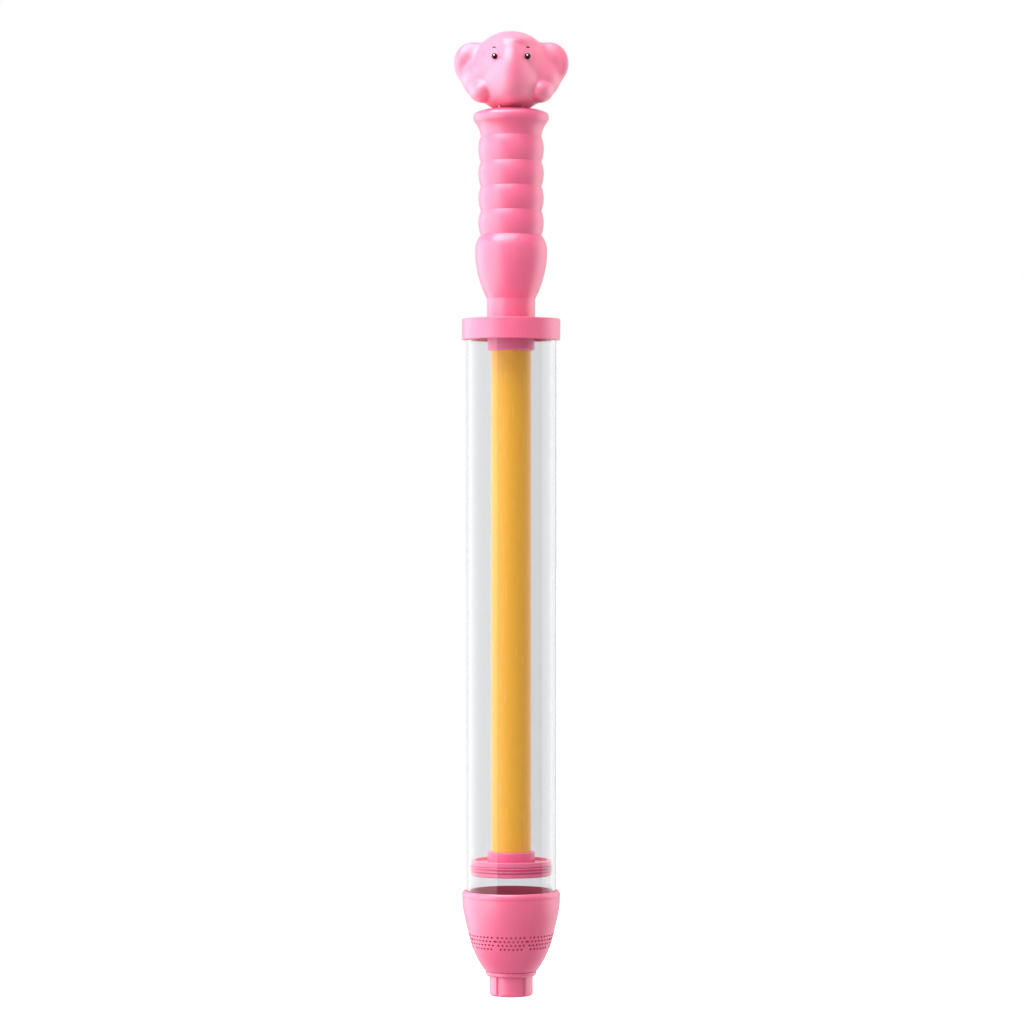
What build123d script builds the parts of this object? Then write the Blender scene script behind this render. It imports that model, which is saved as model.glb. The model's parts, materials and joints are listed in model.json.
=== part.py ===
from build123d import *
import math
import os

# A pull-and-push toy water squirter, standing on its nozzle tip.
# Millimetres, +Z up along the barrel, and the elephant's face looks towards -Y.
# The origin is on the barrel's axis, at the foot of the nozzle tip.

os.makedirs("parts", exist_ok=True)

# Heights along the axis, from the foot up
TIP_TOP = 10.7
RING_TOP = 13.6
CUP_FOOT = 13.7
TUBE_FOOT = 48.5
CUP_RIM = 57.6
PISTON_FOOT = 66.1
SEAL_FOOT = 68.7
SEAL_TOP = 71.5
PISTON_TOP = 74.5
COLLAR_TOP = 79.1
BUSH_FOOT = 353.6
CAP_FOOT = 359.6
CAP_TOP = 371.1
NECK_TOP = 382.3
BELLY_TOP = 417.2
FLARE_FOOT = 471.3
GRIP_TOP = 486.1
HEAD_FOOT = 486.4
EYE_HEIGHT = 513.4

# Radii
TUBE_R = 24.9
TUBE_BORE = 23.1
CAP_R = 27.05
ROD_R = 11.1
ROD_BORE = 9.6
BUSH_R = 13.0
BUSH_SPIGOT_R = 12.6
TIP_R = 12.0
RING_R = 14.0
STEM_R = 8.0
STEM_BORE = 4.5
PISTON_R = 22.2
PISTON_HUB_R = 16.0
SEAL_R = 22.8
COLLAR_R = 13.15
GRIP_NECK_R = 13.25
GROOVE_R = 16.7
CREST_R = 18.0
SCREW_R = 2.5
PIN_R = 1.5
SPIGOT_R = 9.2

# Clearances
RUNNING = 0.05
SEATED = 0.02
REST_GAP = 0.2

# Repeats
FLUTES = 5
PORTS = 3
PORT_CIRCLE = 2.7
PORT_R = 0.9
GRIP_RINGS = 4
RING_PITCH = 13.4
KEY_ANGLES = (54, 126, 234, 306)


def turned(*edges):
    """A solid turned about the barrel's axis from outline edges in (radius, height)."""
    return revolve(make_face(Plane.XZ * Curve(list(edges))), Axis.Z)


def straight(*corners):
    """A turned solid whose outline has only straight sides."""
    return turned(Polyline(*corners, close=True))


def disc(radius, low, high):
    return Pos(0, 0, low) * extrude(Circle(radius), high - low)


def ring(inner, outer, low, high):
    return disc(outer, low, high) - disc(inner, low - 1, high + 1)


def around(count, radius, first=90.0):
    """Places at equal angles on a circle about the axis."""
    turns = [math.radians(first + 360 * i / count) for i in range(count)]
    return [(radius * math.cos(turn), radius * math.sin(turn)) for turn in turns]


def upright_pins(count, circle, radius, low, high):
    """Pins standing on a circle about the axis."""
    return [Pos(x, y, 0) * disc(radius, low, high) for x, y in around(count, circle)]


def halves(shape):
    """The front (-Y) and back (+Y) halves of a moulding split down its sides."""
    reach = 200
    front_half = Pos(0, -reach / 2, 500) * Box(reach, reach, 2 * reach)
    back_half = Pos(0, reach / 2, 500) * Box(reach, reach, 2 * reach)
    return shape & front_half, shape & back_half


def save(shape, name):
    shape.label = name
    export_step(shape, f"parts/{name}.step")


# Nozzle: the bell, the stem in its foot, the turning tip and the valve between them

STEM_FOOT = 4.0
BEAD_LOW = 7.0
BEAD_HIGH = 8.0
BEAD_R = 8.4
STEM_FLANGE_R = 11.2
CUP_FLOOR = 16.0
LEDGE = 47.5
LEDGE_R = 22.6
LIP_R = 26.2
CUP_OUTSIDE = [
    (14.4, CUP_FOOT),
    (17.4, 18.1),
    (20.6, 24.7),
    (23.3, 33.5),
    (25.5, 42.3),
    (26.7, 48.9),
    (26.95, 54.2),
]
CUP_INSIDE = [(LEDGE_R, 42.0), (20.9, 33.5), (18.2, 24.7), (15.0, 18.6), (12.6, CUP_FLOOR)]
HOLE_R = 0.5
HOLE_SIDES = 8
HOLE_REACH = 28.0
HOLE_CLUSTERS = 8
HOLE_STEP = 6.1
HOLE_ROWS = [(33.9, 7), (31.75, 8), (29.6, 7), (27.4, 6)]


def spray_holes():
    """Small eight-sided radial holes in staggered rows, in clusters all round the bell."""
    start = CUP_INSIDE[-1][0]
    drill = Pos(0, 0, start) * extrude(RegularPolygon(HOLE_R, HOLE_SIDES), HOLE_REACH - start)
    drills = []
    for height, count in HOLE_ROWS:
        for cluster in range(HOLE_CLUSTERS):
            for hole in range(count):
                turn = 360 / HOLE_CLUSTERS * cluster + HOLE_STEP * (hole - (count - 1) / 2)
                drills.append(Pos(0, 0, height) * Rot(0, 0, turn - 90) * Rot(0, 90, 0) * drill)
    return drills


def nozzle_cup():
    """The bell, with the tube's socket in its rim and the stem's seat in its foot."""
    seat = TUBE_R + RUNNING
    foot_hole = STEM_FLANGE_R + SEATED
    outside = Spline(*CUP_OUTSIDE)
    lip = ThreePointArc(CUP_OUTSIDE[-1], (26.85, 56.7), (LIP_R, CUP_RIM))
    socket = Polyline(
        (LIP_R, CUP_RIM), (seat, CUP_RIM), (seat, LEDGE), (LEDGE_R, LEDGE), CUP_INSIDE[0]
    )
    inside = Spline(*CUP_INSIDE)
    foot = Polyline(
        CUP_INSIDE[-1], (foot_hole, CUP_FLOOR), (foot_hole, CUP_FOOT), CUP_OUTSIDE[0]
    )
    return turned(outside, lip, socket, inside, foot) - spray_holes()


def nozzle_stem():
    """The outlet spout pressed in the bell's foot, with a bead that the tip snaps over."""
    return straight(
        (STEM_BORE, STEM_FOOT),
        (STEM_R, STEM_FOOT),
        (STEM_R, BEAD_LOW),
        (BEAD_R, (BEAD_LOW + BEAD_HIGH) / 2),
        (STEM_R, BEAD_HIGH),
        (STEM_R, CUP_FOOT),
        (STEM_FLANGE_R, CUP_FOOT),
        (STEM_FLANGE_R, CUP_FLOOR),
        (STEM_BORE, CUP_FLOOR),
    )


def barrel_seal():
    """A flat rubber ring that the tube's foot presses on the cup's ledge."""
    return ring(LEDGE_R + 0.1, TUBE_R - RUNNING, LEDGE, TUBE_FOOT)


def valve_plate():
    """A plug in the stem's foot, with ports that the tip opens or closes."""
    plug = disc(STEM_BORE - SEATED, STEM_FOOT, STEM_FOOT + 4)
    ports = upright_pins(PORTS, PORT_CIRCLE, PORT_R, STEM_FOOT - 1, STEM_FOOT + 5)
    return plug - ports


def nozzle_ring():
    """A thin collar pressed on the stem, between the bell and the tip."""
    chamfer = 0.9
    low = TIP_TOP + REST_GAP
    inner = STEM_R + SEATED
    return straight(
        (inner, low),
        (RING_R - chamfer, low),
        (RING_R, low + chamfer),
        (RING_R, RING_TOP - 0.4),
        (RING_R - 0.4, RING_TOP),
        (inner, RING_TOP),
    )


TIP_FLOOR = 3.2
SLOT_FLOOR = 2.0
JET_R = 1.5


def nozzle_tip():
    """The fluted knob that turns on the stem, with the jet in its foot."""
    bore = STEM_R + RUNNING
    groove = BEAD_R + 0.3
    foot_round = 1.6
    knob = turned(
        Line((0, 0), (TIP_R - foot_round, 0)),
        RadiusArc((TIP_R - foot_round, 0), (TIP_R, foot_round), -foot_round),
        Polyline((TIP_R, foot_round), (TIP_R, TIP_TOP), (bore, TIP_TOP), (bore, 8.6)),
        Polyline((bore, 8.6), (groove, 8.2), (groove, 6.8), (bore, 6.4)),
        Polyline((bore, 6.4), (bore, TIP_FLOOR), (0, TIP_FLOOR), (0, 0)),
    )
    flute_r = 1.5
    flutes = [
        Pos(x, y, 0) * disc(flute_r, -1, TIP_TOP + 1)
        for x, y in around(FLUTES, TIP_R + 0.6, -90 + 180 / FLUTES)
    ]
    jet = disc(JET_R, -1, TIP_FLOOR + 1)
    slots = [
        Rot(0, 0, 90 + 360 / PORTS * i) * Pos(1.8, 0, 2.7) * Box(3.6, 1.8, 1.4)
        for i in range(PORTS)
    ]
    return knob - flutes - jet - slots


def tip_seal():
    """A rubber disc in the tip's floor, with a hole over each slot."""
    holes = upright_pins(PORTS, PORT_CIRCLE, PORT_R + 0.1, 2, 5)
    return disc(STEM_R - 0.1, TIP_FLOOR, STEM_FOOT - 0.1) - holes


# Barrel: the clear tube, its cap and the bush that guides the rod

CAP_CEILING = 368.6


def barrel_tube():
    return ring(TUBE_BORE, TUBE_R, TUBE_FOOT, CAP_CEILING - REST_GAP)


def end_cap():
    edge = 0.3
    seat = TUBE_R + RUNNING
    eye = BUSH_SPIGOT_R + SEATED
    return straight(
        (eye, CAP_CEILING),
        (seat, CAP_CEILING),
        (seat, CAP_FOOT),
        (CAP_R - edge, CAP_FOOT),
        (CAP_R, CAP_FOOT + edge),
        (CAP_R, CAP_TOP - edge),
        (CAP_R - edge, CAP_TOP),
        (eye, CAP_TOP),
    )


def guide_bush():
    """The sleeve under the cap that the pull rod slides through."""
    bore = ROD_R + RUNNING
    lead = 0.8
    return straight(
        (bore, BUSH_FOOT),
        (BUSH_R - lead, BUSH_FOOT),
        (BUSH_R, BUSH_FOOT + lead),
        (BUSH_R, CAP_CEILING),
        (BUSH_SPIGOT_R, CAP_CEILING),
        (BUSH_SPIGOT_R, CAP_TOP),
        (bore, CAP_TOP),
    )


# Piston: two discs that hold a rubber ring, and the screw that the rod turns on

SCREW_HEAD_R = 4.6
SCREW_HEAD_TOP = 67.7
PISTON_RIM_R = 19.9
RECESS_FLOOR = PISTON_TOP - 1.3


def piston_head():
    """The upper disc: a hub under it, the rod's collar on it and a recess round that."""
    hole = SCREW_R + RUNNING
    socket = ROD_R + RUNNING
    corner = 0.5
    return straight(
        (hole, SEAL_FOOT),
        (PISTON_HUB_R, SEAL_FOOT),
        (PISTON_HUB_R, SEAL_TOP),
        (PISTON_R - corner, SEAL_TOP),
        (PISTON_R, SEAL_TOP + corner),
        (PISTON_R, PISTON_TOP - corner),
        (PISTON_R - corner, PISTON_TOP),
        (PISTON_RIM_R, PISTON_TOP),
        (PISTON_RIM_R, RECESS_FLOOR),
        (COLLAR_R, RECESS_FLOOR),
        (COLLAR_R, COLLAR_TOP - corner),
        (COLLAR_R - corner, COLLAR_TOP),
        (socket, COLLAR_TOP),
        (socket, PISTON_TOP),
        (hole, PISTON_TOP),
    )


def piston_seal():
    """A rubber ring between the discs, with two lips towards the tube."""
    inner = PISTON_HUB_R + SEATED
    valley = SEAL_R - 0.7
    middle = (SEAL_FOOT + SEAL_TOP) / 2
    return straight(
        (inner, SEAL_FOOT),
        (SEAL_R - 0.4, SEAL_FOOT),
        (SEAL_R, SEAL_FOOT + 0.5),
        (valley, middle),
        (SEAL_R, SEAL_TOP - 0.5),
        (SEAL_R - 0.4, SEAL_TOP),
        (inner, SEAL_TOP),
    )


def piston_plate():
    """The lower disc, recessed for the screw's head."""
    corner = 0.5
    recess = SCREW_HEAD_R + 0.3
    return straight(
        (recess, PISTON_FOOT),
        (PISTON_R - corner, PISTON_FOOT),
        (PISTON_R, PISTON_FOOT + corner),
        (PISTON_R, SEAL_FOOT - corner),
        (PISTON_R - corner, SEAL_FOOT),
        (SCREW_R + RUNNING, SEAL_FOOT),
        (SCREW_R + RUNNING, SCREW_HEAD_TOP + RUNNING),
        (recess, SCREW_HEAD_TOP + RUNNING),
    )


PLUG_FOOT = PISTON_TOP + 0.1
PLUG_TOP = 100.0
SCREW_TOP = 95.0


def piston_screw():
    """A pan-head screw up through the discs into the plug in the rod."""
    head = disc(SCREW_HEAD_R, PISTON_FOOT + 0.1, SCREW_HEAD_TOP)
    head = fillet(head.edges().group_by(Axis.Z)[0], 0.8)
    cross = Box(5.2, 1.0, 2.0) + Box(1.0, 5.2, 2.0)
    shank = disc(SCREW_R, SCREW_HEAD_TOP, SCREW_TOP)
    return head + shank - Pos(0, 0, PISTON_FOOT + 0.1) * cross


# Rod: the yellow tube with a plug pinned in each end

ROD_TOP = 440.0
PIN_HEIGHT = 428.0


def pin_hole(height):
    return Pos(0, 0, height) * Rot(0, 90, 0) * Cylinder(PIN_R + SEATED, 60)


def pull_rod():
    return ring(ROD_BORE, ROD_R, PLUG_FOOT, ROD_TOP) - pin_hole(PIN_HEIGHT)


def rod_foot_plug():
    plug = disc(ROD_BORE - SEATED, PLUG_FOOT, PLUG_TOP)
    plug = fillet(plug.edges().group_by(Axis.Z)[-1], 1.0)
    return plug - disc(SCREW_R + SEATED, PLUG_FOOT - 1, SCREW_TOP + 1)


FLANGE_R = 13.0
FLANGE_TOP = 443.0
END_PLUG_FOOT = 418.0
END_PLUG_BORE = 5.0


def rod_end_plug():
    """The plug in the rod's top, whose flange the grip's ribs catch."""
    core = disc(ROD_BORE - SEATED, END_PLUG_FOOT, ROD_TOP)
    core = core + disc(FLANGE_R, ROD_TOP, FLANGE_TOP)
    return core - disc(END_PLUG_BORE, END_PLUG_FOOT - 1, FLANGE_TOP + 1) - pin_hole(PIN_HEIGHT)


def plug_pin():
    return Pos(0, 0, PIN_HEIGHT) * Rot(0, 90, 0) * Cylinder(PIN_R, 2 * ROD_R - 0.4)


# Grip: two half shells, closed round the rod's end and the head's spigot

GRIP_FOOT = CAP_TOP + REST_GAP
BELLY = [
    (GRIP_NECK_R + 0.1, NECK_TOP),
    (15.5, 386.9),
    (17.3, 391.9),
    (18.6, 397.0),
    (19.45, 402.0),
    (19.8, 408.6),
]
FLARE = [(GROOVE_R, FLARE_FOOT), (17.9, 475.9), (20.0, 479.2)]
RIM_R = 20.8
RIM_TOP_R = 19.9
NECK_HOLE_R = 9.4
COLLAR_FOOT = 479.0
COLLAR_FLANGE_R = 12.0
CEILING = 482.6


def ring_grooves():
    """Heights of the grooves, from the belly's top to the foot of the flare."""
    return [BELLY_TOP + RING_PITCH * i for i in range(GRIP_RINGS)] + [FLARE_FOOT]


def grip_outline():
    grooves = ring_grooves()
    curves = [
        Polyline((0, GRIP_FOOT), (GRIP_NECK_R, GRIP_FOOT), (GRIP_NECK_R, NECK_TOP - 0.3)),
        Line((GRIP_NECK_R, NECK_TOP - 0.3), BELLY[0]),
        Spline(*BELLY),
        ThreePointArc(BELLY[-1], (19.2, 412.7), (GROOVE_R, BELLY_TOP)),
    ]
    for low, high in zip(grooves, grooves[1:]):
        crest = (CREST_R, (low + high) / 2)
        curves.append(ThreePointArc((GROOVE_R, low), crest, (GROOVE_R, high)))
    curves += [
        Spline(*FLARE),
        ThreePointArc(FLARE[-1], (RIM_R, 481.7), (RIM_TOP_R, 484.1)),
        ThreePointArc((RIM_TOP_R, 484.1), (15.5, 485.6), (NECK_HOLE_R, GRIP_TOP)),
        Polyline((NECK_HOLE_R, GRIP_TOP), (0, GRIP_TOP), (0, GRIP_FOOT)),
    ]
    return curves


def grip_hollow():
    """The space inside the grip, above the solid sleeve round the rod."""
    return straight(
        (0, 384.5),
        (12.2, 384.5),
        (16.3, 396.0),
        (17.3, 406.0),
        (14.5, 414.5),
        (14.5, FLARE_FOOT),
        (17.6, CEILING - 3),
        (17.6, CEILING),
        (0, CEILING),
    )


def grip_webs():
    """Cross walls that hold the rod, cover its pin, catch its flange and carry the spigot."""
    reach = GROOVE_R - 0.5
    rod_hole = ROD_R + SEATED
    lows = (BELLY_TOP, PIN_HEIGHT - 1, ROD_TOP - 2.1)
    webs = [ring(rod_hole, reach, low, low + 2) for low in lows]
    webs.append(ring(6.0, reach, FLANGE_TOP + 0.1, FLANGE_TOP + 2.1))
    webs.append(ring(SPIGOT_R + SEATED, 18.0, COLLAR_FOOT - 2.1, COLLAR_FOOT - 0.1))
    return webs


def keys(extra=0.0):
    """Small upright keys round the neck hole, which the head sits down on."""
    tall = 1.5 + extra
    wide = 1.3 + 2 * extra
    block = Pos(10.6, 0, GRIP_TOP - 0.6 + (tall + 0.6) / 2) * Box(wide, wide, tall + 0.6)
    return [Rot(0, 0, turn) * block for turn in KEY_ANGLES]


def grip_shells():
    body = turned(*grip_outline()) - grip_hollow()
    body = body - disc(ROD_R + SEATED, GRIP_FOOT - 1, 386) - disc(NECK_HOLE_R, CEILING - 1, 490)
    return halves(body + grip_webs() + keys())


# Head: two half shells on a flanged spigot, with two beads for eyes

HEAD_FLOOR = 491.6
HEAD_MIDDLE = 507.9
SPIGOT_TOP = 494.5
SPIGOT_BORE = 6.8
NECK_FLANGE_R = 11.5
EYE_X = 9.07
EYE_Y = -17.0
EYE_R = 1.65
PEG_R = 0.8
PEG_END = -13.9


def ball(centre, half_sizes, seam):
    """An ellipsoid, whose seam is turned out of the plane that the head is split on."""
    return Pos(*centre) * scale(Rot(0, 0, seam) * Sphere(1), by=half_sizes)


def pair(centre, half_sizes, seam):
    x, y, z = centre
    return [ball((side * x, y, z), half_sizes, seam) for side in (-1, 1)]


def head_spigot():
    """A flanged tube: its foot is held in the grip, its top in the head."""
    tube = disc(SPIGOT_R, COLLAR_FOOT - 5, SPIGOT_TOP)
    tube = tube + disc(COLLAR_FLANGE_R, COLLAR_FOOT, CEILING - 0.1)
    tube = tube + disc(NECK_FLANGE_R, HEAD_FLOOR + 0.1, SPIGOT_TOP)
    return tube - disc(SPIGOT_BORE, COLLAR_FOOT - 6, SPIGOT_TOP + 1)


def front_bar(radius, front, back):
    """Bars towards -Y at both eyes, from one depth to another."""
    bar = Pos(0, (front + back) / 2, 0) * Rot(90, 0, 0) * Cylinder(radius, back - front)
    return [Pos(side * EYE_X, 0, EYE_HEIGHT) * bar for side in (-1, 1)]


def eyes():
    """A round bead on a short peg, on each side of the face."""
    beads = [Pos(side * EYE_X, EYE_Y, EYE_HEIGHT) * Sphere(EYE_R) for side in (-1, 1)]
    pegs = front_bar(PEG_R, EYE_Y, PEG_END)
    return [bead + peg for bead, peg in zip(beads, pegs)]


def eye_sockets():
    """A round well for each bead, with a hole for its peg."""
    wells = front_bar(EYE_R + SEATED, EYE_Y - 7, EYE_Y + EYE_R + SEATED)
    return wells + front_bar(PEG_R + SEATED, EYE_Y, PEG_END + SEATED)


def head_shells():
    face = ball((0, 0, HEAD_MIDDLE), (22.7, 20, 21.3), 40)
    trunk = ball((0, -12.5, 505.5), (7.8, 11.5, 17.5), 75)
    ears = pair((21.0, 1.5, 511.6), (10.6, 5.0, 11.7), 20)
    cheeks = pair((17.2, -5, 496.2), (8.2, 9.5, 7.6), 60)
    chin = straight((0, HEAD_FOOT), (9.6, HEAD_FOOT), (14.5, 490), (14.5, 496), (0, 496))
    hollow = ball((0, 0.5, 508.5), (19.3, 16.4, 17.6), 55)
    body = face + trunk + ears + cheeks + chin
    body = body - hollow - disc(NECK_FLANGE_R + 0.7, HEAD_FLOOR, 500)
    body = body - disc(NECK_HOLE_R, CEILING, 500)
    return halves(body - eye_sockets() - keys(0.15))


save(nozzle_tip(), "nozzle_tip")
save(tip_seal(), "tip_seal")
save(valve_plate(), "valve_plate")
save(nozzle_ring(), "nozzle_ring")
save(nozzle_stem(), "nozzle_stem")
save(nozzle_cup(), "nozzle_cup")
save(barrel_seal(), "barrel_seal")
save(barrel_tube(), "barrel_tube")
save(end_cap(), "end_cap")
save(guide_bush(), "guide_bush")
save(piston_plate(), "piston_plate")
save(piston_seal(), "piston_seal")
save(piston_head(), "piston_head")
save(piston_screw(), "piston_screw")
save(rod_foot_plug(), "rod_foot_plug")
save(pull_rod(), "pull_rod")
save(rod_end_plug(), "rod_end_plug")
save(plug_pin(), "plug_pin")
grip_front, grip_back = grip_shells()
save(grip_front, "grip_front")
save(grip_back, "grip_back")
save(head_spigot(), "head_spigot")
head_front, head_back = head_shells()
save(head_front, "head_front")
save(head_back, "head_back")
save(Compound(children=eyes()), "eye_beads")
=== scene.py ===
import json
import math

import bpy
import numpy as np
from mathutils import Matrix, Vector


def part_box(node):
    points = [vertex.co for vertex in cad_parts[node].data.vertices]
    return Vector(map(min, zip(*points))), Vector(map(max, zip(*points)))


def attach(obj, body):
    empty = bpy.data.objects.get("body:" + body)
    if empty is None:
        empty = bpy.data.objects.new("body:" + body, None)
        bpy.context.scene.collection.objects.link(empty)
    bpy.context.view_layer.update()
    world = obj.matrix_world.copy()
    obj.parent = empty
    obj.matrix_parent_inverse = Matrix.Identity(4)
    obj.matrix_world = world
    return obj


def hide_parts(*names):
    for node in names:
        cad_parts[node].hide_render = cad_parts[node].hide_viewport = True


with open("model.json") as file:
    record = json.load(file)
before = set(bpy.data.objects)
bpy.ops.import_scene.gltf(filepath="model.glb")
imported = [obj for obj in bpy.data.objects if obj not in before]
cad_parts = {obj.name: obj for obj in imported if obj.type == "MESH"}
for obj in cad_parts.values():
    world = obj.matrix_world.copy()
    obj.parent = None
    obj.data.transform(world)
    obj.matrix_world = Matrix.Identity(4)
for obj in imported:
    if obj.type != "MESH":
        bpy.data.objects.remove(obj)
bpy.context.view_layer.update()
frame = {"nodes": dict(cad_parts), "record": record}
nodes = frame["nodes"]
mm = 0.001

# ---- camera: level with the middle of the toy

cameraSetup = {
    "distance": 2.03,  # from the barrel's axis
    "height": 0.2652,
    "aside": 0.0005,
    "lens": 130.0,
    "sensor": 36.0,
}


def placeCamera(setup):
    data = bpy.data.cameras.new("studioCamera")
    data.lens = setup["lens"]
    data.sensor_width = setup["sensor"]
    camera = bpy.data.objects.new("studioCamera", data)
    camera.location = (setup["aside"], -setup["distance"], setup["height"])
    camera.rotation_euler = (math.radians(90), 0, 0)
    bpy.context.scene.collection.objects.link(camera)
    bpy.context.scene.camera = camera


placeCamera(cameraSetup)
bpy.context.scene.view_settings.view_transform = "Standard"
print("camera placed")


# ---- small helpers for node trees

def newMaterial(name):
    material = bpy.data.materials.new(name)
    material.use_nodes = True
    tree = material.node_tree
    shader = tree.nodes["Principled BSDF"]
    return material, tree, shader


def link(tree, output, target):
    tree.links.new(output, target)


def addNode(tree, kind, **values):
    node = tree.nodes.new(kind)
    for key, value in values.items():
        setattr(node, key, value)
    return node


def newGroup(name, inputs, outputs):
    group = bpy.data.node_groups.new(name, "ShaderNodeTree")
    for label, kind, default in inputs:
        socket = group.interface.new_socket(label, in_out="INPUT", socket_type=kind)
        socket.default_value = default
    for label, kind in outputs:
        group.interface.new_socket(label, in_out="OUTPUT", socket_type=kind)
    start = group.nodes.new("NodeGroupInput")
    end = group.nodes.new("NodeGroupOutput")
    return group, start, end


def mathNode(tree, operation, first, second=None, third=None, clamp=False):
    node = addNode(tree, "ShaderNodeMath", operation=operation, use_clamp=clamp)
    for socket, value in zip(node.inputs, (first, second, third)):
        if value is None:
            continue
        if isinstance(value, (int, float)):
            socket.default_value = value
        else:
            link(tree, value, socket)
    return node.outputs[0]


def noiseNode(tree, vector, scale, detail=3.0, rough=0.5):
    node = addNode(tree, "ShaderNodeTexNoise")
    node.inputs["Scale"].default_value = scale
    node.inputs["Detail"].default_value = detail
    node.inputs["Roughness"].default_value = rough
    link(tree, vector, node.inputs["Vector"])
    return node.outputs["Fac"]


def bounceMasks(tree):
    # 1 where the light path has been reflected off something on its way
    path = addNode(tree, "ShaderNodeLightPath")
    glossy = mathNode(tree, "GREATER_THAN", path.outputs["Glossy Depth"], 0.5)
    diffuse = mathNode(tree, "GREATER_THAN", path.outputs["Diffuse Depth"], 0.5)
    return glossy, mathNode(tree, "MAXIMUM", glossy, diffuse)


# ---- one group for every moulded or extruded surface

mouldedShape = {
    "cloudFrom": 0.35,  # where in the noise the paler clouds begin and end
    "cloudTo": 0.7,
    "fineScale": 900.0,
    "grainHeight": 0.02,
}


def makeMouldedGroup(shape):
    colour, number = "NodeSocketColor", "NodeSocketFloat"
    group, start, end = newGroup(
        "mouldedSurface",
        [
            ("Colour", colour, (0.8, 0.2, 0.3, 1)),
            ("Pale Colour", colour, (0.9, 0.4, 0.5, 1)),
            ("Cloudiness", number, 0.3),
            ("Cloud Scale", number, 60.0),
            ("Roughness", number, 0.3),
            ("Roughness Spread", number, 0.08),
            ("Grain Depth", number, 0.05),
            ("Grain Scale", number, 3500.0),
            ("Stretch Along", number, 1.0),
        ],
        [("Colour", colour), ("Roughness", number), ("Normal", "NodeSocketVector")],
    )
    place = addNode(group, "ShaderNodeTexCoord").outputs["Object"]
    stretch = addNode(group, "ShaderNodeCombineXYZ")
    stretch.inputs["X"].default_value = 1.0
    stretch.inputs["Y"].default_value = 1.0
    link(group, start.outputs["Stretch Along"], stretch.inputs["Z"])
    scaled = addNode(group, "ShaderNodeVectorMath", operation="MULTIPLY")
    link(group, place, scaled.inputs[0])
    link(group, stretch.outputs[0], scaled.inputs[1])
    vector = scaled.outputs[0]

    clouds = noiseNode(group, vector, 1.0, 4.0, 0.6)
    link(group, start.outputs["Cloud Scale"], clouds.node.inputs["Scale"])
    ramp = addNode(group, "ShaderNodeMapRange", interpolation_type="SMOOTHSTEP")
    ramp.inputs["From Min"].default_value = shape["cloudFrom"]
    ramp.inputs["From Max"].default_value = shape["cloudTo"]
    link(group, clouds, ramp.inputs["Value"])
    share = mathNode(group, "MULTIPLY", ramp.outputs[0], start.outputs["Cloudiness"])
    mix = addNode(group, "ShaderNodeMix", data_type="RGBA")
    link(group, share, mix.inputs["Factor"])
    link(group, start.outputs["Colour"], mix.inputs["A"])
    link(group, start.outputs["Pale Colour"], mix.inputs["B"])
    link(group, mix.outputs["Result"], end.inputs["Colour"])

    fine = noiseNode(group, vector, shape["fineScale"], 2.0, 0.6)
    spread = mathNode(group, "SUBTRACT", fine, 0.5)
    change = mathNode(group, "MULTIPLY", spread, start.outputs["Roughness Spread"])
    rough = mathNode(group, "ADD", change, start.outputs["Roughness"], clamp=True)
    link(group, rough, end.inputs["Roughness"])

    grain = noiseNode(group, vector, 1.0, 2.0, 0.55)
    link(group, start.outputs["Grain Scale"], grain.node.inputs["Scale"])
    bump = addNode(group, "ShaderNodeBump")
    bump.inputs["Distance"].default_value = shape["grainHeight"] * mm
    link(group, start.outputs["Grain Depth"], bump.inputs["Strength"])
    link(group, grain, bump.inputs["Height"])
    link(group, bump.outputs[0], end.inputs["Normal"])
    return group


mouldedGroup = makeMouldedGroup(mouldedShape)


def mouldedMaterial(name, recipe):
    material, tree, shader = newMaterial(name)
    surface = addNode(tree, "ShaderNodeGroup", node_tree=mouldedGroup)
    for label, value in recipe["surface"].items():
        surface.inputs[label].default_value = value
    targets = {"Colour": "Base Color", "Roughness": "Roughness", "Normal": "Normal"}
    for output, target in targets.items():
        link(tree, surface.outputs[output], shader.inputs[target])
    for label, value in recipe.get("shader", {}).items():
        shader.inputs[label].default_value = value
    return material


pinkRecipe = {
    "surface": {
        "Colour": (0.76, 0.1, 0.222, 1),
        "Pale Colour": (0.79, 0.125, 0.255, 1),
        "Cloudiness": 0.6,
        "Cloud Scale": 45.0,
        "Roughness": 0.38,
        "Roughness Spread": 0.1,
        "Grain Depth": 0.35,
        "Grain Scale": 2600.0,
    },
    "shader": {"IOR": 1.5, "Specular IOR Level": 1.0, "Subsurface Weight": 0.1,
               "Subsurface Scale": 0.003, "Subsurface Radius": (1.0, 0.35, 0.4),
               "Coat Weight": 0.5, "Coat Roughness": 0.4},
}
headRecipe = {
    "surface": {
        "Colour": (0.80, 0.155, 0.275, 1),
        "Pale Colour": (0.83, 0.19, 0.315, 1),
        "Cloudiness": 0.7,
        "Cloud Scale": 70.0,
        "Roughness": 0.42,
        "Roughness Spread": 0.1,
        "Grain Depth": 0.45,
        "Grain Scale": 3000.0,
    },
    "shader": {"IOR": 1.5, "Specular IOR Level": 1.0, "Subsurface Weight": 0.12,
               "Subsurface Scale": 0.004, "Subsurface Radius": (1.0, 0.4, 0.45),
               "Coat Weight": 0.7, "Coat Roughness": 0.45},
}
# a brighter copy of the pink plastic: painted light making up for the light the tube's wall takes from
# the parts inside
innerLitRecipe = {  # the parts seen through the tube's wall
    "surface": {
        "Colour": (0.86, 0.12, 0.28, 1),
        "Pale Colour": (0.89, 0.15, 0.31, 1),
        "Cloudiness": 0.5,
        "Cloud Scale": 45.0,
        "Roughness": 0.36,
        "Roughness Spread": 0.06,
        "Grain Depth": 0.3,
        "Grain Scale": 2600.0,
    },
    "shader": {"IOR": 1.5, "Specular IOR Level": 1.0, "Coat Weight": 1.0,
               "Coat Roughness": 0.25},
}
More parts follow.
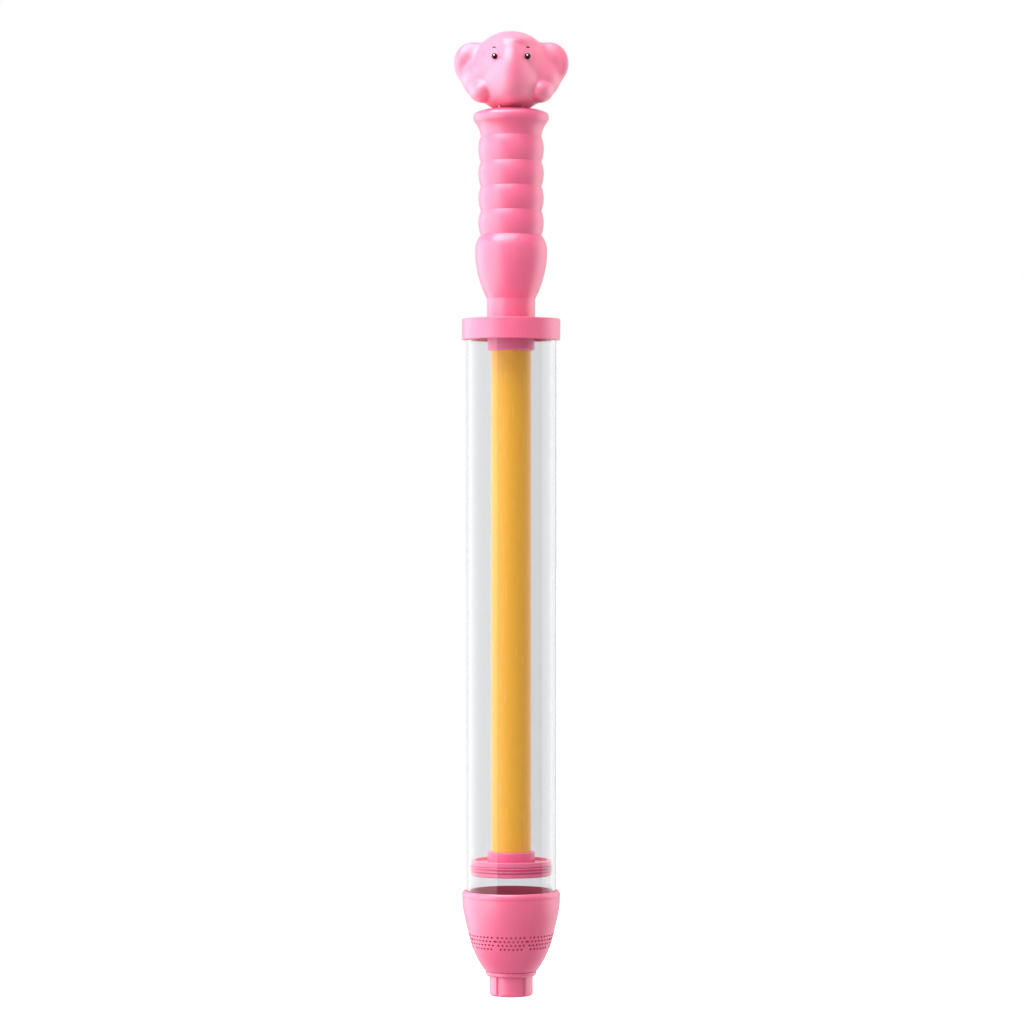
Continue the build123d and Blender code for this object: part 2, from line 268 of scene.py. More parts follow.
sealRecipe = {
    "surface": {
        "Colour": (0.74, 0.07, 0.2, 1),
        "Pale Colour": (0.78, 0.09, 0.23, 1),
        "Cloudiness": 0.5,
        "Roughness": 0.42,
        "Grain Depth": 0.5,
    },
    "shader": {"IOR": 1.5, "Specular IOR Level": 1.0, "Coat Weight": 0.8,
               "Coat Roughness": 0.3},
}
# darker than the bell's pink: painted shade that makes the spray holes read dark
holeShadeRimRecipe = {
    "surface": {
        "Colour": (0.55, 0.025, 0.1, 1),
        "Pale Colour": (0.6, 0.04, 0.13, 1),
        "Cloudiness": 0.5,
        "Roughness": 0.5,
        "Grain Depth": 0.3,
    },
}
rodRecipe = {
    "surface": {
        "Colour": (0.86, 0.40, 0.014, 1),
        "Pale Colour": (0.9, 0.44, 0.022, 1),
        "Cloudiness": 0.3,
        "Cloud Scale": 30.0,
        "Roughness": 0.27,
        "Roughness Spread": 0.025,
        "Grain Depth": 0.25,
        "Grain Scale": 1800.0,
        "Stretch Along": 0.06,  # drawn lines along the extrusion
    },
    "shader": {"IOR": 1.5, "Specular IOR Level": 1.0, "Subsurface Weight": 0.1,
               "Subsurface Scale": 0.003, "Coat Weight": 0.7, "Coat Roughness": 0.3},
}
hiddenWhiteRecipe = {
    "surface": {
        "Colour": (0.78, 0.77, 0.73, 1),
        "Pale Colour": (0.85, 0.84, 0.81, 1),
        "Roughness": 0.45,
        "Grain Depth": 0.4,
    },
}
greyRubberRecipe = {
    "surface": {
        "Colour": (0.07, 0.07, 0.075, 1),
        "Pale Colour": (0.12, 0.12, 0.125, 1),
        "Roughness": 0.6,
        "Grain Depth": 0.6,
    },
}
steelRecipe = {
    "surface": {
        "Colour": (0.52, 0.52, 0.53, 1),
        "Pale Colour": (0.62, 0.62, 0.63, 1),
        "Roughness": 0.28,
        "Grain Depth": 0.3,
        "Stretch Along": 0.1,
    },
    "shader": {"Metallic": 1.0},
}
eyeRecipe = {
    "surface": {
        "Colour": (0.004, 0.003, 0.004, 1),
        "Pale Colour": (0.008, 0.006, 0.008, 1),
        "Cloudiness": 0.5,
        "Roughness": 0.06,
        "Roughness Spread": 0.02,
        "Grain Depth": 0.02,
    },
    "shader": {"IOR": 1.5, "Specular IOR Level": 0.35},
}
# white dots put on the eye beads: a painted highlight
glintRecipe = {
    "surface": {
        "Colour": (0.9, 0.9, 0.9, 1),
        "Pale Colour": (0.95, 0.95, 0.95, 1),
        "Roughness": 0.2,
        "Grain Depth": 0.1,
    },
}


tubeRecipe = {
    "tint": (0.862, 0.87, 0.882, 1),
    "seenThrough": (0.98, 0.98, 0.985, 1),  # what light loses on its way in
    "drawn": 0.03,  # how far the fine lines are drawn out along the tube
    "lineScale": 260.0,
    "lineStrength": 0.08,
    "lineHeight": 0.02,
    "scuffScale": 140.0,
    "scuffFrom": 0.5,
    "scuffTo": 0.8,
    "polished": 0.015,
    "scuffed": 0.09,
    "shader": {"IOR": 1.49, "Specular IOR Level": 0.25, "Transmission Weight": 1.0},
}


def clearMaterial(recipe):
    material, tree, shader = newMaterial("clearTube")
    place = addNode(tree, "ShaderNodeTexCoord").outputs["Object"]
    drawn = addNode(tree, "ShaderNodeMapping")
    drawn.inputs["Scale"].default_value = (1, 1, recipe["drawn"])
    link(tree, place, drawn.inputs["Vector"])
    lines = noiseNode(tree, drawn.outputs[0], recipe["lineScale"], 2.0, 0.5)
    scuffs = noiseNode(tree, place, recipe["scuffScale"], 5.0, 0.65)
    spread = addNode(tree, "ShaderNodeMapRange")
    ends = {"From Min": "scuffFrom", "From Max": "scuffTo", "To Min": "polished", "To Max": "scuffed"}
    for label, key in ends.items():
        spread.inputs[label].default_value = recipe[key]
    link(tree, scuffs, spread.inputs["Value"])
    link(tree, spread.outputs[0], shader.inputs["Roughness"])
    bump = addNode(tree, "ShaderNodeBump")
    bump.inputs["Strength"].default_value = recipe["lineStrength"]
    bump.inputs["Distance"].default_value = recipe["lineHeight"] * mm
    link(tree, lines, bump.inputs["Height"])
    link(tree, bump.outputs[0], shader.inputs["Normal"])
    shader.inputs["Base Color"].default_value = recipe["tint"]
    for label, value in recipe["shader"].items():
        shader.inputs[label].default_value = value
    # shadow rays and diffused light go straight through, so that the parts inside are lit
    through = addNode(tree, "ShaderNodeBsdfTransparent")
    through.inputs["Color"].default_value = recipe["seenThrough"]
    path = addNode(tree, "ShaderNodeLightPath")
    diffuse = mathNode(tree, "GREATER_THAN", path.outputs["Diffuse Depth"], 0.5)
    lighting = mathNode(tree, "MAXIMUM", path.outputs["Is Shadow Ray"], diffuse)
    either = addNode(tree, "ShaderNodeMixShader")
    out = tree.nodes["Material Output"]
    link(tree, lighting, either.inputs[0])
    link(tree, shader.outputs[0], either.inputs[1])
    link(tree, through.outputs[0], either.inputs[2])
    link(tree, either.outputs[0], out.inputs["Surface"])
    return material


materials = {
    "pink_plastic": mouldedMaterial("pinkPlastic", pinkRecipe),
    "pink_rubber": mouldedMaterial("sealRubber", sealRecipe),
    "yellow_plastic": mouldedMaterial("amberRod", rodRecipe),
    "white_plastic": mouldedMaterial("hiddenWhite", hiddenWhiteRecipe),
    "grey_rubber": mouldedMaterial("greyRubber", greyRubberRecipe),
    "steel": mouldedMaterial("stainless", steelRecipe),
    "eye_black": mouldedMaterial("eyeBlack", eyeRecipe),
    "clear_plastic": clearMaterial(tubeRecipe),
}
headVinyl = mouldedMaterial("headVinyl", headRecipe)
# brighter copy of the pink for the parts inside the tube: painted light
innerLitPink = mouldedMaterial("innerLitPink", innerLitRecipe)
# painted shade for the rims round the spray holes
holeShadeRimPaint = mouldedMaterial("holeShadeRim", holeShadeRimRecipe)
insideTube = ("guide_bush", "piston_head", "piston_plate")  # painted with innerLitPink
glintPaint = mouldedMaterial("glintPaint", glintRecipe)
slotOf = {part["node"]: part["material_slot"] for part in frame["record"]["subparts"]}


def paint(thing, material):
    thing.data.materials.clear()
    thing.data.materials.append(material)


for name, node in nodes.items():
    paint(node, innerLitPink if name in insideTube else materials[slotOf[name]])
print("materials on", len(nodes), "nodes")


# ---- head: one smooth skin grown from a few blended shapes

headShape = {
    "cell": 0.42,
    "low": (-33, -27, 485),
    "high": (33, 22, 531),
    "skull": {"middle": (0, 0, 504), "wide": 22.7, "front": 20.8, "back": 20.0,
              "up": 25.2, "down": 17.5, "keel": 1.42, "keelRound": 2.4, "keelPull": 0.35,
              "chinFrom": 503.0, "chinFade": 11.0, "crownFrom": 519.0, "crownFade": 7.0,
              "steepness": 20.0},
    "ear": {"middle": (21.0, 1.5, 511.6), "size": (10.6, 5.2, 11.7), "blend": 3.2},
    "earDish": {"middle": (25.6, -7.4, 508.6), "size": (5.2, 4.1, 7.8), "blend": 2.8},
    "lobe": {"middle": (15.6, -5.0, 495.8), "size": (7.5, 10.3, 6.5), "blend": 1.1},
    "lobeBack": {"middle": (16.0, 1.0, 502.0), "size": (10.2, 11.6, 10.0), "blend": 4.0},
    "muzzle": {"middle": (0, -8.0, 500.5), "size": (14.4, 14.0, 13.4), "blend": 1.6},
    "trunk": {"middle": (0, -12.9, 505.0), "size": (7.6, 10.9, 15.6), "blend": 4.5},
    "brow": {"middle": (1.0, -8.4, 521.9), "size": (8.2, 7.4, 3.4), "blend": 2.0},
    "under": {"middle": (0, -1.0, 498.5), "size": (18.5, 17.5, 12.4), "blend": 2.0},
    "neck": {"low": 486.4, "foot": 9.6, "slope": 1.3, "top": 490.0, "blend": 1.2},
}


def smoothUnion(a, b, width):
    mix = np.clip(0.5 + 0.5 * (b - a) / width, 0, 1)
    return b + (a - b) * mix - width * mix * (1 - mix)


def smoothCut(a, b, width):
    return -smoothUnion(-a, b, width)


# each field below is near a distance in millimetres: under nought inside, over it outside

def ellipsoid(x, y, z, shape, side=1.0):
    cx, cy, cz = shape["middle"]
    rx, ry, rz = shape["size"]
    px, py, pz = (x - side * cx) / rx, (y - cy) / ry, (z - cz) / rz
    reach = np.sqrt(px**2 + py**2 + pz**2)
    slope = np.sqrt((px / rx) ** 2 + (py / ry) ** 2 + (pz / rz) ** 2)
    return reach * (reach - 1) / np.maximum(slope, 1e-6)


def skull(x, y, z, shape):
    cx, cy, cz = shape["middle"]
    depth = np.where(y < cy, shape["front"], shape["back"])
    tall = np.where(z > cz, shape["up"], shape["down"])
    soft = shape["keelRound"]
    across = (np.sqrt(x**2 + soft**2) - shape["keelPull"] * soft) / shape["wide"]
    along = np.abs(y - cy) / depth
    # a sharp prow in front that rounds off towards the chin and the crown
    easeLow = np.clip((shape["chinFrom"] - z) / shape["chinFade"], 0, 1)
    easeHigh = np.clip((z - shape["crownFrom"]) / shape["crownFade"], 0, 1)
    ease = np.maximum(easeLow, easeHigh)
    ease = ease * ease * (3 - 2 * ease)
    power = np.where(y < cy, shape["keel"] + (2.0 - shape["keel"]) * ease, 2.0)
    flat = (across**power + along**power) ** (1 / power)
    reach = np.sqrt(flat**2 + ((z - cz) / tall) ** 2)
    return (reach - 1) * shape["steepness"]


def headField(x, y, z):
    side = np.where(x < 0, -1.0, 1.0)
    shape = headShape
    body = skull(x, y, z, shape["skull"])
    for name in ("under", "muzzle", "trunk", "brow"):
        body = smoothUnion(body, ellipsoid(x, y, z, shape[name]), shape[name]["blend"])
    ears = ellipsoid(x, y, z, shape["ear"], side)
    ears = smoothCut(ears, ellipsoid(x, y, z, shape["earDish"], side), shape["earDish"]["blend"])
    body = smoothUnion(body, ears, shape["ear"]["blend"])
    for name in ("lobeBack", "lobe"):
        body = smoothUnion(body, ellipsoid(x, y, z, shape[name], side), shape[name]["blend"])
    neck = shape["neck"]
    slope = neck["slope"]
    cone = np.sqrt(x**2 + y**2) - neck["foot"] - (z - neck["low"]) * slope
    cone = np.maximum(cone / math.sqrt(1 + slope**2), z - neck["top"])
    body = smoothUnion(body, cone, neck["blend"])
    return np.maximum(body, neck["low"] - z)


def surfaceNet(field, low, high, cell):
    # one point in each grid cell that the skin passes through, one quad for each grid edge
    counts = [int(math.ceil((b - a) / cell)) + 1 for a, b in zip(low, high)]
    axes = [a + cell * np.arange(n) for a, n in zip(low, counts)]
    grid = np.meshgrid(*axes, indexing="ij")
    value = field(*grid)
    inside = value < 0
    corners = [(i, j, k) for i in (0, 1) for j in (0, 1) for k in (0, 1)]
    shape = tuple(n - 1 for n in counts)

    def part(array, i, j, k):
        return array[i:i + shape[0], j:j + shape[1], k:k + shape[2]]

    total = sum(part(inside, *c).astype(int) for c in corners)
    active = (total > 0) & (total < 8)
    where = np.argwhere(active)
    index = -np.ones(shape, int)
    index[tuple(where.T)] = np.arange(len(where))
    place = np.zeros((len(where), 3))
    hits = np.zeros(len(where))
    edges = [(a, b) for a in corners for b in corners
             if sum(b) - sum(a) == 1 and all(q >= p for p, q in zip(a, b))]
    for a, b in edges:
        va = value[tuple((where + a).T)]
        vb = value[tuple((where + b).T)]
        cross = (va < 0) != (vb < 0)
        t = np.where(cross, va / np.where(va == vb, 1, va - vb), 0)
        point = np.array(a) + t[:, None] * (np.array(b) - np.array(a))
        place += np.where(cross[:, None], point, 0)
        hits += cross
    place = np.array(low) + cell * (where + place / hits[:, None])
    faces = []
    for axis in range(3):
        u, v = [n for n in range(3) if n != axis]
        step = np.zeros(3, int)
        step[axis] = 1
        here = np.argwhere(inside[:counts[0] - step[0], :counts[1] - step[1], :counts[2] - step[2]]
                           != inside[step[0]:, step[1]:, step[2]:])
        here = here[(here[:, u] > 0) & (here[:, v] > 0)]
        here = here[(here[:, u] < shape[u]) & (here[:, v] < shape[v])]
        du, dv = np.zeros(3, int), np.zeros(3, int)
        du[u], dv[v] = 1, 1
        quad = [index[tuple((here - du - dv).T)], index[tuple((here - dv).T)],
                index[tuple(here.T)], index[tuple((here - du).T)]]
        quad = np.stack(quad, 1)
        outward = inside[tuple(here.T)]
        if axis == 1:  # the other two axes run the opposite way round this one
            outward = ~outward
        quad[~outward] = quad[~outward][:, ::-1]
        faces.append(quad)
    return place, np.concatenate(faces)


def settle(field, points, rounds=3, step=0.02):
    # draws the points on to the true skin
    for _ in range(rounds):
        x, y, z = points.T
        value = field(x, y, z)
        slope = np.stack([
            field(x + step, y, z) - field(x - step, y, z),
            field(x, y + step, z) - field(x, y - step, z),
            field(x, y, z + step) - field(x, y, z - step),
        ], 1) / (2 * step)
        points = points - slope * (value / np.maximum((slope**2).sum(1), 1e-6))[:, None]
    return points


def meshPiece(name, points, faces, material, body):
    mesh = bpy.data.meshes.new(name)
    mesh.from_pydata([tuple(p) for p in points.tolist()], [], [tuple(f) for f in faces])
    mesh.validate()
    mesh.shade_smooth()
    piece = bpy.data.objects.new(name, mesh)
    bpy.context.scene.collection.objects.link(piece)
    paint(piece, material)
    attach(piece, body)
    return piece


def makeHead():
    points, faces = surfaceNet(headField, headShape["low"], headShape["high"], headShape["cell"])
    points = settle(headField, points)
    points[:, 2] = np.maximum(points[:, 2], headShape["neck"]["low"])
    head = meshPiece("elephant_head", points * mm, faces, headVinyl, "plunger")
    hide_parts("head_front", "head_back")
    print("head:", len(points), "points, box", points.min(0).round(1), points.max(0).round(1))


def faceDepth(x, z):
    # how far forward the face is at a place across and up
    near, far = np.full(np.shape(x), float(headShape["low"][1])), np.zeros(np.shape(x))
    for _ in range(30):  # halvings
        middle = (near + far) / 2
        outside = headField(x, middle, z) > 0
        near, far = np.where(outside, middle, near), np.where(outside, far, middle)
    return (near + far) / 2


def domedSpot(name, centre, halfSizes, rise, sink, depthAt, bend, material):
    # a thin domed dab of paint that follows the surface under it, closed at the back
    rings, spokes = 5, 24
    turn = 2 * math.pi * np.arange(spokes) / spokes
    share = np.concatenate([[0.0], np.repeat(np.arange(1, rings + 1) / rings, spokes)])
    angle = np.concatenate([[0.0], np.tile(turn, rings)])
    across = share * np.cos(angle)
    x = centre[0] + halfSizes[0] * across
    z = centre[1] + halfSizes[1] * share * np.sin(angle) + bend * (1 - across**2)
    skin = depthAt(x, z)
    bulge = np.sqrt(1 - share**2)
    dome = np.stack([x, skin - rise * bulge, z], 1)
    back = np.stack([x, skin + sink * bulge, z], 1)
    rim = 1 + (rings - 1) * spokes

    def corner(layer, ring, spoke):
        if ring == 0:
            return layer
        return (0 if ring == rings else layer) + 1 + (ring - 1) * spokes + spoke % spokes

    faces = []
    for layer, turned in ((0, False), (len(x), True)):
        for i in range(spokes):
            loops = [[corner(layer, 0, 0), corner(layer, 1, i), corner(layer, 1, i + 1)]]
            for r in range(1, rings):
                loops.append([corner(layer, r, i), corner(layer, r + 1, i),
                              corner(layer, r + 1, i + 1), corner(layer, r, i + 1)])
            faces += [loop[::-1] if turned else loop for loop in loops]
    points = np.concatenate([dome, back[:rim]]) * mm
    return meshPiece(name, points, faces, material, "plunger")


browMarks = {"across": 9.2, "height": 518.7, "halfWide": 1.05, "halfTall": 0.46,
             "rise": 0.14, "sink": 0.5, "bend": 0.14}
# the glints are painted highlights on the eye beads
eyeGlints = {"aside": -0.25, "above": 0.5, "half": 0.42, "rise": 0.05, "sink": 0.2}


def makeFaceMarks(brow, glint):
    beadLow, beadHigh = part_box("eye_beads")
    radius = (beadHigh.z - beadLow.z) / 2 / mm
    height = (beadHigh.z + beadLow.z) / 2 / mm
    across = beadHigh.x / mm - radius
    front = beadLow.y / mm
    for side, word in ((-1, "left"), (1, "right")):
        domedSpot("brow_" + word, (side * brow["across"], brow["height"]),
                  (brow["halfWide"], brow["halfTall"]), brow["rise"], brow["sink"], faceDepth,
                  brow["bend"], materials["eye_black"])

        def beadDepth(x, z):
            flat = (x - side * across) ** 2 + (z - height) ** 2
            return front + radius - np.sqrt(radius**2 - flat)

        domedSpot("eye_glint_" + word, (side * across + glint["aside"], height + glint["above"]),
                  (glint["half"], glint["half"]), glint["rise"], glint["sink"], beadDepth,
                  0.0, glintPaint)
    print("face depth at the eyes", faceDepth(np.array([across]), np.array([height])).round(2),
          "bead front", round(front, 2))


makeHead()
makeFaceMarks(browMarks, eyeGlints)


# ---- spray holes: a fine rolled rim round each one, repeated by rule round the bell; the rims carry a darker pink, painted shade of the holes

sprayRims = {
    "rows": [(33.9, 7), (31.75, 8), (29.6, 7), (27.4, 6)],  # height, holes in a cluster
    "clusters": 8,
    "step": 6.1,  # degrees from one hole to the next
    "rimRadius": 0.52,
    "rimWire": 0.13,
    "sides": 10,
    "wireSides": 4,
    "reach": 40.0,  # where the rays towards the bell start from
}


def rimRowTree(setup):
    # one row: equal clusters of rims, dropped on the bell's wall and turned square to it
    tree = bpy.data.node_groups.new("rimRow", "GeometryNodeTree")
    inputs = (("Bell", "NodeSocketObject"), ("Rim", "NodeSocketGeometry"),
              ("Height", "NodeSocketFloat"), ("Holes", "NodeSocketInt"),
              ("Clusters", "NodeSocketInt"), ("Step", "NodeSocketFloat"))
    for label, kind in inputs:
        tree.interface.new_socket(label, in_out="INPUT", socket_type=kind)
    tree.interface.new_socket("Rims", in_out="OUTPUT", socket_type="NodeSocketGeometry")
    start = addNode(tree, "NodeGroupInput").outputs
    end = addNode(tree, "NodeGroupOutput")
    count = mathNode(tree, "MULTIPLY", start["Holes"], start["Clusters"])
    line = addNode(tree, "GeometryNodeMeshLine")
    link(tree, count, line.inputs["Count"])
    index = addNode(tree, "GeometryNodeInputIndex").outputs[0]
    cluster = mathNode(tree, "FLOOR", mathNode(tree, "DIVIDE", index, start["Holes"]))
    hole = mathNode(tree, "MODULO", index, start["Holes"])
    middle = mathNode(tree, "MULTIPLY", mathNode(tree, "SUBTRACT", start["Holes"], 1.0), 0.5)
    aside = mathNode(tree, "MULTIPLY", mathNode(tree, "SUBTRACT", hole, middle), start["Step"])
    pitch = mathNode(tree, "DIVIDE", 2 * math.pi, start["Clusters"])
    turn = mathNode(tree, "ADD", mathNode(tree, "MULTIPLY", cluster, pitch), aside)
    turn = mathNode(tree, "SUBTRACT", turn, math.pi / 2)

    def outwards(angle, along):
        vector = addNode(tree, "ShaderNodeCombineXYZ")
        link(tree, mathNode(tree, "MULTIPLY", mathNode(tree, "COSINE", angle), along), vector.inputs[0])
        link(tree, mathNode(tree, "MULTIPLY", mathNode(tree, "SINE", angle), along), vector.inputs[1])
        return vector

    # the ray goes half a step towards the cluster's middle, where the wall isn't pierced
    past = mathNode(tree, "GREATER_THAN", hole, middle)
    side = mathNode(tree, "MULTIPLY_ADD", past, -1.0, 0.5)
    beside = mathNode(tree, "MULTIPLY_ADD", start["Step"], side, turn)
    source = outwards(beside, setup["reach"] * mm)
    link(tree, start["Height"], source.inputs[2])
    wall = addNode(tree, "GeometryNodeObjectInfo", transform_space="RELATIVE")
    link(tree, start["Bell"], wall.inputs["Object"])
    ray = addNode(tree, "GeometryNodeRaycast")
    link(tree, wall.outputs["Geometry"], ray.inputs["Target Geometry"])
    link(tree, source.outputs[0], ray.inputs["Source Position"])
    link(tree, outwards(beside, -1.0).outputs[0], ray.inputs["Ray Direction"])

    def acrossAndUp(vector):
        parts = addNode(tree, "ShaderNodeSeparateXYZ")
        link(tree, vector, parts.inputs[0])
        square = mathNode(tree, "MULTIPLY", parts.outputs[0], parts.outputs[0])
        square = mathNode(tree, "MULTIPLY_ADD", parts.outputs[1], parts.outputs[1], square)
        return mathNode(tree, "SQRT", square), parts.outputs[2]

    across, up = acrossAndUp(ray.outputs["Hit Position"])
    place = outwards(turn, across)
    link(tree, up, place.inputs[2])
    leanAcross, leanUp = acrossAndUp(ray.outputs["Hit Normal"])
    lean = outwards(turn, leanAcross)
    link(tree, leanUp, lean.inputs[2])
    move = addNode(tree, "GeometryNodeSetPosition")
    link(tree, line.outputs[0], move.inputs["Geometry"])
    link(tree, place.outputs[0], move.inputs["Position"])
    square = addNode(tree, "FunctionNodeAlignRotationToVector", axis="Z")
    link(tree, lean.outputs[0], square.inputs["Vector"])
    copies = addNode(tree, "GeometryNodeInstanceOnPoints")
    link(tree, move.outputs[0], copies.inputs["Points"])
    link(tree, start["Rim"], copies.inputs["Instance"])
    link(tree, square.outputs[0], copies.inputs["Rotation"])
    link(tree, copies.outputs[0], end.inputs["Rims"])
    return tree


def sprayRimTree(setup):
    tree = bpy.data.node_groups.new("sprayRims", "GeometryNodeTree")
    inputs = (("Bell", "NodeSocketObject"), ("Rim Radius", "NodeSocketFloat"),
              ("Rim Wire", "NodeSocketFloat"), ("Clusters", "NodeSocketInt"),
              ("Step", "NodeSocketFloat"), ("Rim Shade", "NodeSocketMaterial"))
    for label, kind in inputs:
        tree.interface.new_socket(label, in_out="INPUT", socket_type=kind)
    tree.interface.new_socket("Geometry", in_out="OUTPUT", socket_type="NodeSocketGeometry")
    start = addNode(tree, "NodeGroupInput").outputs
    end = addNode(tree, "NodeGroupOutput")
    hoop = addNode(tree, "GeometryNodeCurvePrimitiveCircle")
    hoop.inputs["Resolution"].default_value = setup["sides"]
    link(tree, start["Rim Radius"], hoop.inputs["Radius"])
    wire = addNode(tree, "GeometryNodeCurvePrimitiveCircle")
    wire.inputs["Resolution"].default_value = setup["wireSides"]
    link(tree, start["Rim Wire"], wire.inputs["Radius"])
    rim = addNode(tree, "GeometryNodeCurveToMesh")
    link(tree, hoop.outputs[0], rim.inputs["Curve"])
    link(tree, wire.outputs[0], rim.inputs["Profile Curve"])
    rowTree = rimRowTree(setup)
    joined = addNode(tree, "GeometryNodeJoinGeometry")
    for height, holes in setup["rows"]:
        row = addNode(tree, "GeometryNodeGroup", node_tree=rowTree)
        row.inputs["Height"].default_value = height * mm
        row.inputs["Holes"].default_value = holes
        link(tree, rim.outputs[0], row.inputs["Rim"])
        for label in ("Bell", "Clusters", "Step"):
            link(tree, start[label], row.inputs[label])
        link(tree, row.outputs[0], joined.inputs[0])
    real = addNode(tree, "GeometryNodeRealizeInstances")
    link(tree, joined.outputs[0], real.inputs[0])
    shadeSetter = addNode(tree, "GeometryNodeSetMaterial")
    link(tree, real.outputs[0], shadeSetter.inputs["Geometry"])
    link(tree, start["Rim Shade"], shadeSetter.inputs["Material"])
    link(tree, shadeSetter.outputs[0], end.inputs[0])
    return tree


def makeSprayRims(setup):
    maker = bpy.data.objects.new("rimMaker", bpy.data.meshes.new("rimMaker"))
    bpy.context.scene.collection.objects.link(maker)
    modifier = maker.modifiers.new("sprayRims", "NODES")
    tree = sprayRimTree(setup)
    modifier.node_group = tree
    values = {"Bell": nodes["nozzle_cup"], "Rim Radius": setup["rimRadius"] * mm,
              "Rim Wire": setup["rimWire"] * mm, "Clusters": setup["clusters"],
              "Step": math.radians(setup["step"]), "Rim Shade": holeShadeRimPaint}
    for item in tree.interface.items_tree:
        if item.in_out == "INPUT":
            modifier[item.identifier] = values[item.name]
    seen = maker.evaluated_get(bpy.context.evaluated_depsgraph_get())
    mesh = bpy.data.meshes.new_from_object(seen)
    bpy.data.objects.remove(maker)
    mesh.name = "spray_rims"
    mesh.shade_smooth()
    rims = bpy.data.objects.new("spray_rims", mesh)
    bpy.context.scene.collection.objects.link(rims)
    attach(rims, "barrel")
    print("spray rims:", len(mesh.polygons), "faces", mesh.materials[:])


makeSprayRims(sprayRims)


# ---- studio: pale floor, white surround brighter behind the toy, soft boxes

studio = {
    "floorRadius": 14.0,
    "floorSides": 96,
    "floorColour": (0.9, 0.9, 0.9, 1),
    "floorSeen": 0.75,  # glow towards the camera, under the light that it catches
    "surroundSeen": 1.0,
    "glossFront": 0.12,
    "glossBack": 1.3,
    "fillFront": 0.95,
    "fillBack": 0.9,
    "turnFrom": -0.15,  # where along Y the surround starts to brighten
    "turnTo": 0.75,
    "aim": 0.33,  # the height that every lamp points at
    "lights": [
        {"name": "leftBox", "azimuth": -85, "height": 0.3, "distance": 1.15,
         "wide": 2.7, "tall": 1.7, "radiance": 2.15},
        {"name": "rightBox", "azimuth": 108, "height": 0.33, "distance": 1.4,
         "wide": 1.2, "tall": 1.5, "radiance": 1.2},
        {"name": "overheadBox", "azimuth": -40, "height": 1.6, "distance": 0.55,
         "wide": 1.4, "tall": 1.3, "radiance": 4.2},
        {"name": "glint", "azimuth": -58, "height": 1.25, "distance": 0.75,
         "wide": 0.22, "tall": 0.22, "radiance": 14.0},
    ],
}


def addFloor(setup):
    count, radius = setup["floorSides"], setup["floorRadius"]
    turns = [2 * math.pi * i / count for i in range(count)]
    rim = [(radius * math.cos(turn), radius * math.sin(turn), 0) for turn in turns]
    mesh = bpy.data.meshes.new("paleFloor")
    mesh.from_pydata(rim, [], [list(range(count))])
    floor = bpy.data.objects.new("paleFloor", mesh)
    bpy.context.scene.collection.objects.link(floor)
    material, tree, shader = newMaterial("paleFloor")
    shader.inputs["Base Color"].default_value = setup["floorColour"]
    shader.inputs["Roughness"].default_value = 0.9
    shader.inputs["Specular IOR Level"].default_value = 0.0
    shader.inputs["Emission Color"].default_value = (1, 1, 1, 1)
    shader.inputs["Emission Strength"].default_value = setup["floorSeen"]
    through = addNode(tree, "ShaderNodeEmission")
    through.inputs["Strength"].default_value = setup["surroundSeen"]
    path = addNode(tree, "ShaderNodeLightPath")
    unseen = addNode(tree, "ShaderNodeBsdfTransparent")
    behindGlass = addNode(tree, "ShaderNodeMixShader")
    either = addNode(tree, "ShaderNodeMixShader")
    link(tree, bounceMasks(tree)[1], behindGlass.inputs[0])
    link(tree, through.outputs[0], behindGlass.inputs[1])
    link(tree, unseen.outputs[0], behindGlass.inputs[2])
    link(tree, path.outputs["Is Camera Ray"], either.inputs[0])
    link(tree, behindGlass.outputs[0], either.inputs[1])
    link(tree, shader.outputs[0], either.inputs[2])
    link(tree, either.outputs[0], tree.nodes["Material Output"].inputs["Surface"])
    floor.data.materials.append(material)
    # the toy is lit from below the floor as well, as in a white tent
    floor.visible_diffuse = False
    floor.visible_glossy = False
    floor.visible_shadow = False


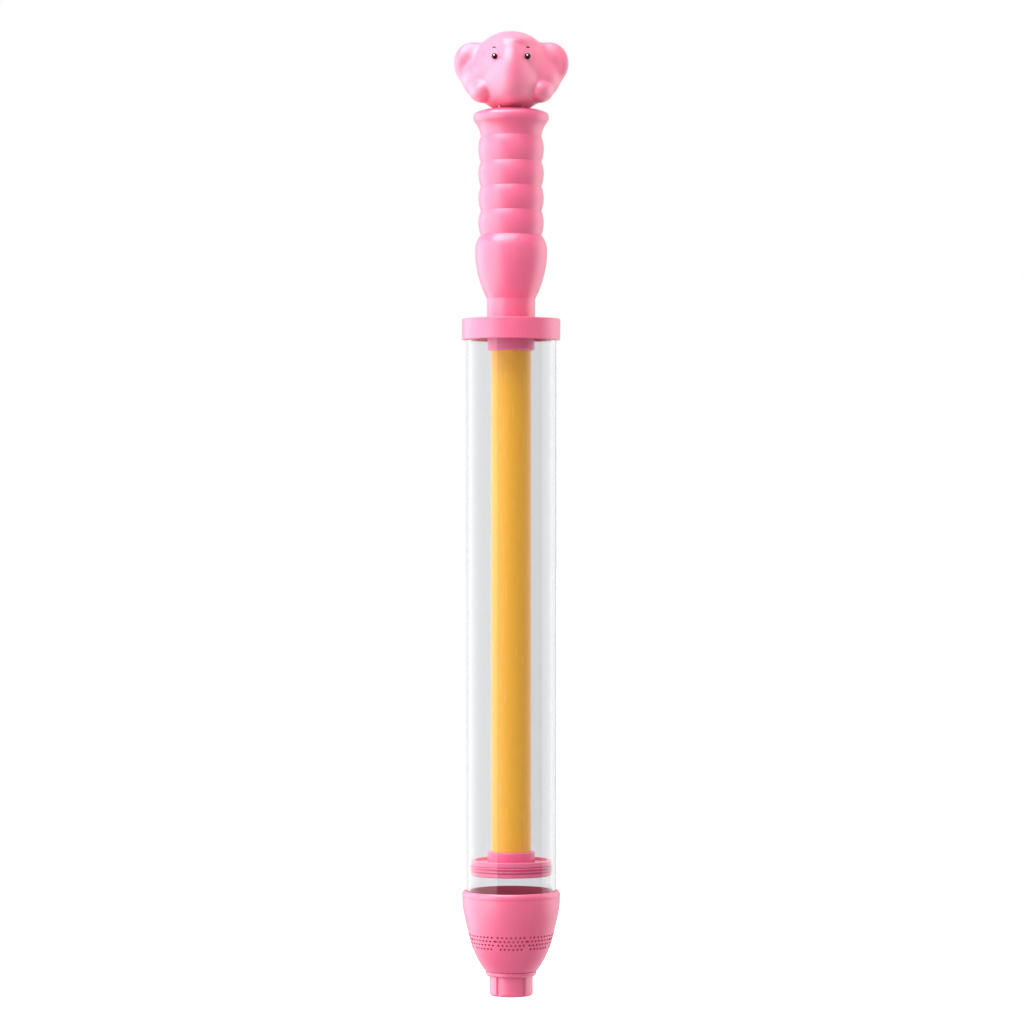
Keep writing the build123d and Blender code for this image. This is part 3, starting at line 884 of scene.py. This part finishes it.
def addSurround(setup):
    world = bpy.data.worlds.new("whiteSurround")
    bpy.context.scene.world = world
    world.use_nodes = True
    tree = world.node_tree
    place = addNode(tree, "ShaderNodeTexCoord").outputs["Generated"]
    split = addNode(tree, "ShaderNodeSeparateXYZ")
    link(tree, place, split.inputs[0])

    def towardsBack(front, back):
        ramp = addNode(tree, "ShaderNodeMapRange", interpolation_type="SMOOTHSTEP")
        values = (setup["turnFrom"], setup["turnTo"], setup[front], setup[back])
        for label, value in zip(("From Min", "From Max", "To Min", "To Max"), values):
            ramp.inputs[label].default_value = value
        link(tree, split.outputs["Y"], ramp.inputs["Value"])
        background = addNode(tree, "ShaderNodeBackground")
        link(tree, ramp.outputs[0], background.inputs["Strength"])
        return background

    seen = tree.nodes["Background"]
    seen.inputs["Color"].default_value = (1, 1, 1, 1)
    seen.inputs["Strength"].default_value = setup["surroundSeen"]
    glossy, bounced = bounceMasks(tree)
    indirect = addNode(tree, "ShaderNodeMixShader")
    either = addNode(tree, "ShaderNodeMixShader")
    link(tree, glossy, indirect.inputs[0])
    link(tree, towardsBack("fillFront", "fillBack").outputs[0], indirect.inputs[1])
    link(tree, towardsBack("glossFront", "glossBack").outputs[0], indirect.inputs[2])
    link(tree, bounced, either.inputs[0])
    link(tree, seen.outputs[0], either.inputs[1])
    link(tree, indirect.outputs[0], either.inputs[2])
    link(tree, either.outputs[0], tree.nodes["World Output"].inputs["Surface"])


def addLight(setup, aimHeight):
    data = bpy.data.lights.new(setup["name"], "AREA")
    data.shape = "RECTANGLE"
    data.size = setup["wide"]
    data.size_y = setup["tall"]
    data.energy = setup["radiance"] * math.pi * setup["wide"] * setup["tall"]
    light = bpy.data.objects.new(setup["name"], data)
    angle = math.radians(setup["azimuth"])
    spot = Vector((math.sin(angle) * setup["distance"], -math.cos(angle) * setup["distance"],
                   setup["height"]))
    aim = Vector((0, 0, aimHeight))
    light.location = spot
    light.rotation_euler = (aim - spot).to_track_quat("-Z", "Y").to_euler()
    light.visible_camera = False
    light.visible_transmission = False
    bpy.context.scene.collection.objects.link(light)


addFloor(studio)
addSurround(studio)
for lamp in studio["lights"]:
    addLight(lamp, studio["aim"])
print("studio ready")
